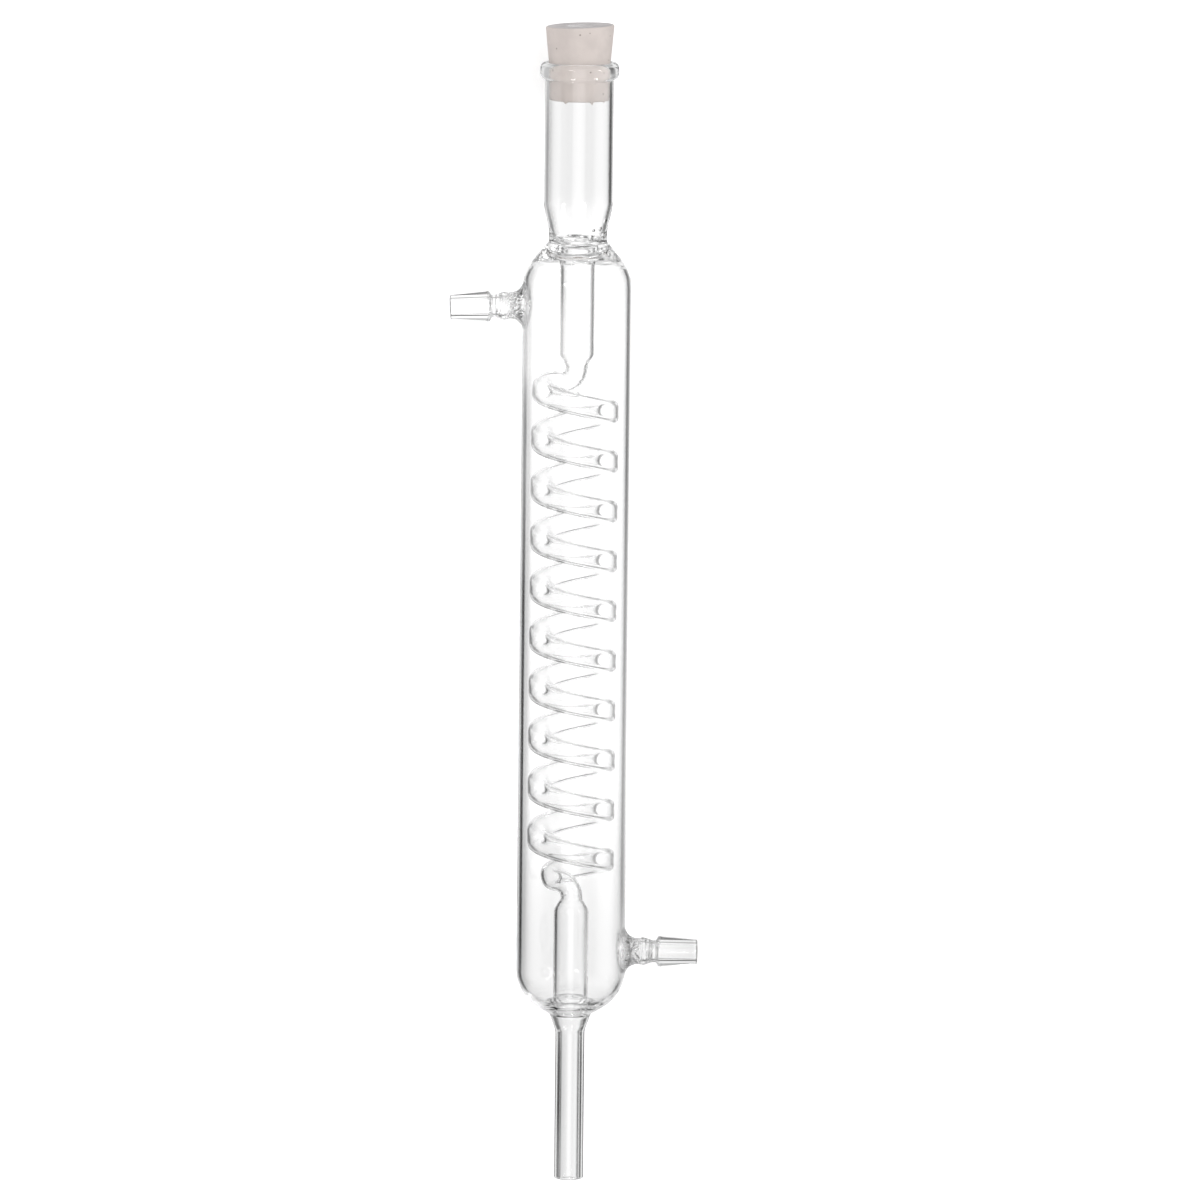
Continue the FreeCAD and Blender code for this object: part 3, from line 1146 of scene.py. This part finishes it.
@dataclass(frozen=True)
class ClearGlass:
    """Borosilicate glass, drawn into ripples by the flame where tubes are joined, in metres.

    Attributes:
        index: Refractive index.
        tint: Its colour where it is seen through.
        painted_edge_shade: Darker glass mixed in where the surface is seen edge-on, as painted shade.
        painted_edge_falloff: How fast that painted shade fades away from an edge.
        painted_edge_strength: The most of that painted shade, at the very edge.
        shadow: How much light a shadow lets through, by colour.
        seals: The ring seals, as their places along the long axis and how far the ripples reach.
        seal_ripple: Height of the ripples there.
        cup_ends: Where the cups meet the coil's tube, in the same way.
        cup_ripple: Height of the ripples there.
        cup_edge: Between which distances from the long axis they end.
        ring_scale: How fine the ripples of seals and cups are, along X, Y and Z.
        hose_way: The way of the hose connections' common axis.
        hose_weld: Distances from the long axis where the ripples of their welds begin and end.
        weld_ripple: Height of those ripples.
        weld_scale: How fine they are.
        hose_waist: Distances between which the threads of their drawn necks lie.
        waist_ripple: Height of those threads.
        thread_scale: How fine the threads are, along the connection, along the jacket and outward.
        drops: Small beads on the waist's wall, as standing middles and radii, in millimetres.
        drop_height: Height of those beads.
    """

    index: float = 1.47
    tint: tuple = (0.993, 0.993, 0.993, 1)
    # A darker glass colour toward the edges, painted shade for their dark lines
    painted_edge_shade: tuple = (0.79, 0.79, 0.84, 1)
    painted_edge_falloff: float = 5.0
    painted_edge_strength: float = 0.5
    shadow: tuple = (0.93, 0.94, 0.94, 1)
    seals: tuple = ((0.1385, 0.011), (-0.1605, 0.011))
    seal_ripple: float = 0.0003
    cup_ends: tuple = ((0.0905, 0.008), (-0.1125, 0.007))
    cup_ripple: float = 0.0007
    cup_edge: tuple = (0.00765, 0.0085)
    ring_scale: tuple = (90, 480, 90)
    hose_way: tuple = (0.9408, 0.0, 0.339)
    hose_weld: tuple = (0.0212, 0.0218, 0.0255, 0.0275)
    weld_ripple: float = 0.002
    weld_scale: float = 600.0
    hose_waist: tuple = (0.0255, 0.027, 0.034, 0.0352)
    waist_ripple: float = 0.0007
    thread_scale: tuple = (900, 110, 60)
    drops: tuple = ((8.9, -4.4, 373.6, 1.4), (7.6, -5.6, 370.6, 1.0), (8.7, -3.2, 367.4, 1.5),
                    (4.6, -8.1, 367.0, 1.3), (5.4, -7.6, 370.2, 0.8))
    drop_height: float = 0.0008

    def waves(self, shade: Shading) -> Socket:
        """Works out the ripples that the flame has left.

        Args:
            shade: Where the nodes go.

        Returns:
            Their height at the shaded point.
        """
        whole, x, y, z = shade.place()
        away = from_axis(x, z)
        inner = 1 - shade.step(away, *self.cup_edge)
        heights = 0
        for centre, reach in self.seals:
            heights = shade.near(y, centre, reach) * self.seal_ripple + heights
        for centre, reach in self.cup_ends:
            heights = shade.near(y, centre, reach) * inner * self.cup_ripple + heights
        rings = shade.vector("MULTIPLY", whole, self.ring_scale)
        waves = (shade.noise(rings, 1.0) - 0.5) * heights
        weld = shade.band(away, *self.hose_weld) * self.weld_ripple
        waves = waves + (shade.noise(whole, self.weld_scale) - 0.5) * weld
        along = shade.vector("DOT_PRODUCT", whole, self.hose_way, output="Value")
        sides = [place * scale for place, scale in zip((along, y, away), self.thread_scale)]
        threads = shade.node("ShaderNodeCombineXYZ", {}, dict(enumerate(sides)))
        waist = shade.band(away, *self.hose_waist) * self.waist_ripple
        return waves + (shade.noise(threads, 1.0) - 0.5) * waist

    def beads(self, shade: Shading, rest: Rest) -> Socket:
        """Works out the small beads on the waist's wall.

        Args:
            shade: Where the nodes go.
            rest: How the object is laid down.

        Returns:
            Their height at the shaded point, as a share.
        """
        whole = shade.place()[0]
        beads = 0
        for *middle, radius in self.drops:
            centre = tuple(rest.point(*middle))
            off = shade.vector("DISTANCE", whole, centre, output="Value") / (radius * MM)
            beads = shade.math("MAXIMUM", 1 - off ** 2, 0) + beads
        return beads

    def blown(self, shade: Shading, colour: tuple, normal: Socket) -> Socket:
        """Returns smooth glass of one colour."""
        return shade.node("ShaderNodeBsdfPrincipled", {}, {
            "Base Color": colour, "Roughness": 0.0, "IOR": self.index, "Transmission Weight": 1.0,
            "Normal": normal})

    def material(self, rest: Rest) -> bpy.types.Material:
        """Makes the glass a material.

        Args:
            rest: How the object is laid down.

        Returns:
            The material.
        """
        material, shade = new_material("clear_glass")
        height = self.waves(shade) + self.beads(shade, rest) * self.drop_height
        normal = shade.node("ShaderNodeBump", {}, {"Strength": 1.0, "Distance": 1.0, "Height": height})
        # rim is the glass in the darker colour of the painted edge shade, which facing mixes in toward the
        # edges
        clear, rim = [self.blown(shade, colour, normal) for colour in (self.tint, self.painted_edge_shade)]
        facing = shade.node("ShaderNodeLayerWeight", {}, {"Blend": 0.5}, "Facing")
        body = shade.mix(facing ** self.painted_edge_falloff * self.painted_edge_strength, clear, rim)
        through = shade.node("ShaderNodeBsdfTransparent", {}, {"Color": self.shadow})
        shade.finish(shade.mix(shade.ray("Is Shadow Ray"), body, through))
        return material


@dataclass(frozen=True)
class StopperRubber:
    """Pale beige rubber, slightly mottled, with dark specks, fine pits and painted shade on its top, in
    metres.

    Attributes:
        light: Its palest colour.
        dark: Its darkest colour.
        painted_shade_top_light: The palest colour of its top, darker and greyer than the sides as painted
            shade.
        painted_shade_top_dark: The darkest colour of its top, with the same painted shade.
        mottle_scale: How fine the mottling is.
        mottle_edge: Between which levels of its noise it turns dark.
        speck: Colour of the specks.
        speck_scale: How many cells there are to a metre, each with one speck or none.
        speck_edge: Between which distances from its middle, in cells, a speck ends.
        speck_choice: Between which levels of its own number a cell gets a speck.
        speck_strength: How much of its colour a speck shows.
        grain_scale: How fine the grain is.
        grain_strength: Strength of its relief.
        grain_height: Height of its relief.
        roughness: Roughness of the rubber.
        polish: Roughness of the rubbed streaks in the middle of its top.
        streak_scale: How fine those streaks are, along X, Y and Z.
        streak_edge: Between which levels of their noise they begin.
        rubbed_reach: Between which distances from the long axis they end.
        top_place: Between which places along the long axis its top begins.
        top_reach: Between which distances from the long axis its top ends.
    """

    light: tuple = (0.67, 0.6, 0.565, 1)
    dark: tuple = (0.615, 0.55, 0.52, 1)
    # The top's colours are painted shade, darker and greyer than the sides'
    painted_shade_top_light: tuple = (0.52, 0.485, 0.485, 1)
    painted_shade_top_dark: tuple = (0.4, 0.37, 0.375, 1)
    mottle_scale: float = 160.0
    mottle_edge: tuple = (0.3, 0.7)
    speck: tuple = (0.16, 0.12, 0.1, 1)
    speck_scale: float = 300.0
    speck_edge: tuple = (0.08, 0.13)
    speck_choice: tuple = (0.5, 0.52)
    speck_strength: float = 0.7
    grain_scale: float = 2600.0
    grain_strength: float = 0.35
    grain_height: float = 0.0001
    roughness: float = 0.42
    polish: float = 0.1
    streak_scale: tuple = (120, 0, 700)
    streak_edge: tuple = (0.4, 0.55)
    rubbed_reach: tuple = (0.004, 0.0065)
    top_place: tuple = (0.2227, 0.223)
    top_reach: tuple = (0.0124, 0.0128)

    def specks(self, shade: Shading, whole: Socket) -> Socket:
        """Scatters the specks.

        Args:
            shade: Where the nodes go.
            whole: The shaded point.

        Returns:
            One on a speck, and zero beside it.
        """
        cells = {"Vector": whole, "Scale": self.speck_scale}
        middle = shade.node("ShaderNodeTexVoronoi", {}, cells, "Distance")
        cell_colour = shade.node("ShaderNodeTexVoronoi", {}, cells, "Color")
        chosen = shade.node("ShaderNodeSeparateColor", {}, {0: cell_colour})
        return (1 - shade.step(middle, *self.speck_edge)) * shade.step(chosen, *self.speck_choice)

    def material(self) -> bpy.types.Material:
        """Makes the rubber a material.

        Returns:
            The material.
        """
        material, shade = new_material("stopper_rubber")
        whole, x, y, z = shade.place()
        away = from_axis(x, z)
        # top marks the top face, which gets painted shade in its colour and rubbed streaks in its roughness
        top = shade.step(y, *self.top_place) * (1 - shade.step(away, *self.top_reach))
        mottled = shade.step(shade.noise(whole, self.mottle_scale, detail=4.0), *self.mottle_edge)
        side = shade.blend(mottled, self.light, self.dark)
        # Painted shade: the top takes darker, greyer colours than the sides
        colour = shade.blend(top, side, shade.blend(mottled, self.painted_shade_top_light, self.painted_shade_top_dark))
        speck = self.specks(shade, whole)
        colour = shade.blend(speck * self.speck_strength, colour, self.speck)
        grain = shade.noise(whole, self.grain_scale, detail=3.0)
        pits = shade.node("ShaderNodeBump", {}, {
            "Strength": self.grain_strength, "Distance": self.grain_height, "Height": grain - speck})
        rubbing = shade.noise(shade.vector("MULTIPLY", whole, self.streak_scale), 1.0)
        streaks = shade.step(rubbing, *self.streak_edge)
        rubbed = top * streaks * (1 - shade.step(away, *self.rubbed_reach))
        body = shade.node("ShaderNodeBsdfPrincipled", {}, {
            "Base Color": colour, "Roughness": self.roughness - rubbed * (self.roughness - self.polish),
            "Normal": pits})
        shade.finish(body)
        return material


@dataclass(frozen=True)
class Stopper:
    """The rubber stopper, squeezed to the bore where it is pressed into the neck, in millimetres.

    Attributes:
        bottom: Height of its bottom.
        lip: Where the neck's lip begins, and the stopper widens above it.
        top: Height of its top.
        bottom_radius: Radius of its bottom.
        lip_radius: Radius at the neck's lip.
        top_radius: Radius of its top.
        edge: Rounding of its top and bottom edges.
        edge_band: Width of the flat ring inside each edge.
        lip_fillet: Rounding where it widens.
        tilt: How far its head is cocked, its right side up, in degrees.
        nibs: Flash left by the mould on the bottom edge in front, as places across and lengths.
        nib_radius: How wide that flash is.
        dimple: Radius and depth of the hollow in its top.
        dimple_rings: Rings of points in the hollow, as shares of its radius.
        around: Faces around it.
    """

    bottom: float = 419.5
    lip: float = 433.0
    top: float = 448.1
    bottom_radius: float = 11.55
    lip_radius: float = 11.8
    top_radius: float = 13.2
    edge: float = 0.6
    edge_band: float = 1.2
    lip_fillet: float = 8.0
    tilt: float = 2.0
    nibs: tuple = ((-5.1, 0.9), (4.7, 1.1), (9.0, 0.4))
    nib_radius: float = 0.5
    dimple: tuple = (5.5, 0.35)
    dimple_rings: tuple = (1, 0.8, 0.6, 0.4, 0.2)
    around: int = 200

    def shape(self, place: Vector) -> None:
        """Cocks, hollows and nibs one point of the turned body.

        Args:
            place: The point, which is moved.
        """
        share = clamped((place.z - self.lip) / (self.top - self.lip))
        radius, depth = self.dimple
        away = math.hypot(place.x, place.y)
        if place.z > self.lip and away < radius:
            place.z -= depth * (1 - (away / radius) ** 2) ** 2
        place.z += place.x * math.tan(math.radians(self.tilt)) * share
        if place.z < self.bottom + self.edge:
            for across, length in self.nibs:
                front = -math.sqrt((self.bottom_radius - self.edge / 2) ** 2 - across ** 2)
                off = math.hypot(place.x - across, place.y - front)
                place.z -= length * math.exp(-(off / self.nib_radius) ** 2)

    def build(self, rest: Rest) -> bpy.types.Object:
        """Builds it in the row frame.

        Args:
            rest: How it is laid down.

        Returns:
            The piece, which stands for its solid.
        """
        body = Turning(self.around).turn("rubber_stopper", [
            Corner(0, self.bottom),
            Corner(self.bottom_radius - self.edge_band, self.bottom),
            Corner(self.bottom_radius, self.bottom, self.edge),
            Corner(self.lip_radius, self.lip, self.lip_fillet),
            Corner(self.top_radius, self.top, self.edge),
            Corner(self.top_radius - self.edge_band, self.top),
            *[Corner(self.dimple[0] * share, self.top) for share in self.dimple_rings],
            Corner(0, self.top),
        ])
        for vert in body.data.vertices:
            self.shape(vert.co)
        lay_down(body, rest)
        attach(body, "root")
        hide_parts("neck_stopper")
        dress(body, StopperRubber().material())
        return body


@dataclass(frozen=True)
class Studio:
    """Pale floor, soft light and the camera of the photograph, in metres.

    Clear glass shows what lies round it. So rays that it has bent or mirrored find a white card behind
    the object and dark flags beside it, fixed in the row frame. All other rays find a white dome.

    Attributes:
        frame_width: Width of the picture at the object.
        camera_distance: From the camera to the object.
        elevation: How far up from the front the camera stands, in degrees.
        lean: Turn of the camera about its own axis, in degrees.
        sensor: Width of its sensor, in millimetres.
        camera_reach: How far it sees.
        right_of_axis: How far right of the long axis the picture's middle is, in millimetres.
        centre_height: Standing height of the picture's middle, in millimetres.
        side_greys: Greys of card and flags from left to right, by the sine of the way sideways.
        left_flag: Strength of the left flag by the place along the object.
        right_flag: Strength of the right flag by the place along the object.
        flag_reach: The farthest of those places.
        flag_seam: Between which sines one flag takes over from the other.
        flag_width: Between which sines a flag begins to fade toward its ends.
        corner_light: How much of a flag has faded there.
        up_fall: Between which sines the cards below and above the object turn dark.
        up_end: Between which sines they end.
        up_dark: How much light the lower and the upper one keep.
        card_light: Brightness of the white card.
        end_dim: How much of it is lost beyond the jacket's ends.
        neck_dim: Between which places along the object it is lost at the neck.
        stem_dim: Between which places it is back from the stem's end.
        sky_place: The place along the object that the dome goes by.
        floor_size: Width of the floor.
        paper: Colour of the floor.
        floor_glow: Light that the floor adds for the camera, to be white.
        dome_light: Brightness of the dome.
        lamp_place: Where the right lamp hangs, with the left one opposite.
        lamp_size: Width and length of a lamp.
        lamp_power: Power of a lamp, in watts.
        bounces: How often a ray is followed through the glass.
    """

    frame_width: float = 0.4625
    camera_distance: float = 6.0
    elevation: float = 7.5
    lean: float = 0.6
    sensor: float = 36.0
    camera_reach: float = 50.0
    right_of_axis: float = 9.9
    centre_height: float = 225.9
    side_greys: tuple = (
        (-1.0, 0.85), (-0.95, 0.7), (-0.86, 0.04), (-0.44, 0.03), (-0.4, 0.25), (-0.36, 0.58), (-0.3, 0.68),
        (-0.2, 0.72), (-0.14, 0.84), (-0.08, 0.94), (-0.03, 1.0), (0.17, 1.0), (0.25, 0.88), (0.33, 0.6),
        (0.38, 0.15), (0.44, 0.03), (0.72, 0.03), (0.82, 0.5), (0.94, 0.8), (1.0, 0.88))
    left_flag: tuple = (
        (-0.215, 0.85), (-0.2, 1.0), (-0.18, 1.0), (-0.17, 0.85), (-0.155, 0.9), (-0.13, 1.0), (0.0, 1.0),
        (0.03, 0.9), (0.048, 0.84), (0.068, 0.84), (0.08, 0.75), (0.09, 0.52), (0.108, 0.55), (0.124, 0.9),
        (0.135, 0.9), (0.15, 0.62), (0.18, 0.65), (0.2, 0.5))
    right_flag: tuple = (
        (-0.215, 0.92), (-0.2, 1.0), (-0.18, 1.0), (-0.17, 0.8), (-0.155, 0.4), (-0.14, 0.45), (-0.12, 0.7),
        (0.0, 0.74), (0.05, 0.85), (0.12, 0.85), (0.15, 0.95), (0.19, 0.95), (0.205, 0.6))
    flag_reach: float = 0.25
    flag_seam: tuple = (-0.1, 0.1)
    flag_width: tuple = (0.3, 0.5)
    corner_light: float = 0.55
    up_fall: tuple = (0.42, 0.72)
    up_end: tuple = (0.82, 0.92)
    up_dark: tuple = (0.1, 0.4)
    card_light: float = 1.3
    end_dim: float = 0.33
    neck_dim: tuple = (0.13, 0.16)
    stem_dim: tuple = (-0.14, -0.06)
    sky_place: float = 0.0
    floor_size: float = 12.0
    paper: tuple = (0.8, 0.8, 0.8, 1)
    floor_glow: float = 0.42
    dome_light: float = 0.9
    lamp_place: tuple = (1.34, 0.55, 1.5)
    lamp_size: tuple = (0.28, 0.55)
    lamp_power: float = 5.0
    bounces: int = 40

    def bent_rays(self, shade: Shading) -> Socket:
        """Finds the rays from the camera that glass has bent or mirrored.

        Args:
            shade: Where the nodes go.

        Returns:
            One for those rays, and zero for others.
        """
        rays = [shade.ray(fact) for fact in ("Is Transmission Ray", "Is Glossy Ray")]
        return shade.math("GREATER_THAN", shade.math("MAXIMUM", *rays) - shade.ray("Diffuse Depth"), 0.5)

    def card(self, shade: Shading, way: Socket, rest: Rest, along: Any) -> Socket:
        """Shows glass a white card behind the object, dark flags beside it, and light beyond those.

        Args:
            shade: Where the nodes go.
            way: The way of the ray.
            rest: How the object is laid down.
            along: How far up the object the ray ends.

        Returns:
            How bright the surroundings are in that way.
        """
        tilt = math.radians(self.elevation)
        ways = [rest.direction(1, 0, 0), rest.direction(0, math.sin(tilt), math.cos(tilt))]
        side, up = [shade.vector("DOT_PRODUCT", way, tuple(one), output="Value") for one in ways]
        greys = shade.ramp(side, 1.0, self.side_greys)
        flags = (self.left_flag, self.right_flag)
        left, right = [shade.ramp(along, self.flag_reach, flag) for flag in flags]
        off_side, off_up = [shade.math("ABSOLUTE", one) for one in (side, up)]
        kept = left + shade.step(side, *self.flag_seam) * (right - left)
        kept = kept * (1 - shade.step(off_up, *self.flag_width) * self.corner_light)
        middle = 1 - shade.step(off_side, *self.flag_width) * self.corner_light
        middle = middle * (1 - shade.step(off_up, *self.up_end))
        below, above = [shade.step(up * sign, *self.up_fall) * middle * (1 - dark)
                        for sign, dark in zip((-1, 1), self.up_dark)]
        ends = shade.step(along, *self.neck_dim) + (1 - shade.step(along, *self.stem_dim))
        light = self.card_light - ends * self.end_dim
        return light * (1 - (1 - greys) * kept) * (1 - below) * (1 - above)

    def floor(self, rest: Rest) -> None:
        """Lays the floor, which is white to the camera and keeps the object's shadow.

        Args:
            rest: How the object is laid down.
        """
        bpy.ops.mesh.primitive_plane_add(size=self.floor_size, location=(0, 0, 0))
        floor = bpy.context.object
        floor.name = "floor"
        material, shade = new_material("floor_paper")
        paper = shade.node("ShaderNodeBsdfDiffuse", {}, {"Color": self.paper})
        glow = shade.node("ShaderNodeEmission", {}, {"Color": WHITE, "Strength": self.floor_glow})
        both = shade.node("ShaderNodeAddShader", {}, {0: paper, 1: glow})
        way = shade.vector("MULTIPLY", shade.node("ShaderNodeNewGeometry", {}, {}, "Incoming"), (-1, -1, -1))
        light = self.card(shade, way, rest, shade.place()[2])
        card = shade.node("ShaderNodeEmission", {}, {"Color": WHITE, "Strength": light})
        seen = shade.mix(shade.ray("Is Camera Ray"), paper, both)
        shade.finish(shade.mix(self.bent_rays(shade), seen, card))
        floor.data.materials.append(material)

    def world(self, rest: Rest) -> None:
        """Makes the surroundings: an even white dome.

        Args:
            rest: How the object is laid down.
        """
        world = bpy.data.worlds.new("studio")
        world.use_nodes = True
        world.node_tree.nodes.clear()
        shade = Shading(world.node_tree)
        way = shade.node("ShaderNodeTexCoord", {}, {}, "Generated")
        dome = shade.node("ShaderNodeBackground", {}, {"Color": WHITE, "Strength": self.dome_light})
        light = self.card(shade, way, rest, self.sky_place)
        card = shade.node("ShaderNodeBackground", {}, {"Color": WHITE, "Strength": light})
        shade.finish(shade.mix(self.bent_rays(shade), dome, card))
        bpy.context.scene.world = world

    def lamps(self) -> None:
        """Hangs a tall soft lamp on either side of the camera."""
        across, along, up = self.lamp_place
        for name, side in (("left_lamp", -1), ("right_lamp", 1)):
            bpy.ops.object.light_add(type="AREA", location=(side * across, along, up))
            lamp = bpy.context.object
            lamp.name = name
            lamp.data.shape = "RECTANGLE"
            lamp.data.size, lamp.data.size_y = self.lamp_size
            lamp.data.energy = self.lamp_power
            lamp.rotation_euler = (-lamp.location).to_track_quat("-Z", "Y").to_euler()

    def camera(self, rest: Rest) -> None:
        """Sets the camera where the photograph's stood.

        Args:
            rest: How the object is laid down.
        """
        tilt = math.radians(self.elevation)
        back = rest.direction(0, -math.cos(tilt), math.sin(tilt))
        target = rest.point(self.right_of_axis, 0, self.centre_height)
        data = bpy.data.cameras.new("camera")
        data.sensor_width = self.sensor
        data.lens = self.sensor * self.camera_distance / self.frame_width
        data.clip_end = self.camera_reach
        camera = bpy.data.objects.new("camera", data)
        bpy.context.scene.collection.objects.link(camera)
        up = rest.direction(0, math.sin(tilt), math.cos(tilt))
        right = up.cross(back)
        lean = math.radians(self.lean)
        leaning_up = up * math.cos(lean) - right * math.sin(lean)
        leaning_right = right * math.cos(lean) + up * math.sin(lean)
        axes = Matrix((leaning_right, leaning_up, back)).transposed().to_4x4()
        camera.matrix_world = Matrix.Translation(target + back * self.camera_distance) @ axes
        bpy.context.scene.camera = camera

    def build(self, rest: Rest) -> None:
        """Builds it all.

        Args:
            rest: How the object is laid down.
        """
        self.floor(rest)
        self.world(rest)
        self.lamps()
        self.camera(rest)
        scene = bpy.context.scene
        scene.view_settings.view_transform = "Standard"
        scene.cycles.max_bounces = self.bounces
        scene.cycles.transmission_bounces = self.bounces
        scene.cycles.glossy_bounces = self.bounces
        scene.cycles.transparent_max_bounces = self.bounces


def main() -> None:
    """Builds the scene."""
    logging.basicConfig(level=logging.INFO)
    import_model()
    rest = Rest()
    Studio().build(rest)
    CondenserGlass().build(rest)
    Stopper().build(rest)


if __name__ == "__main__":
    main()
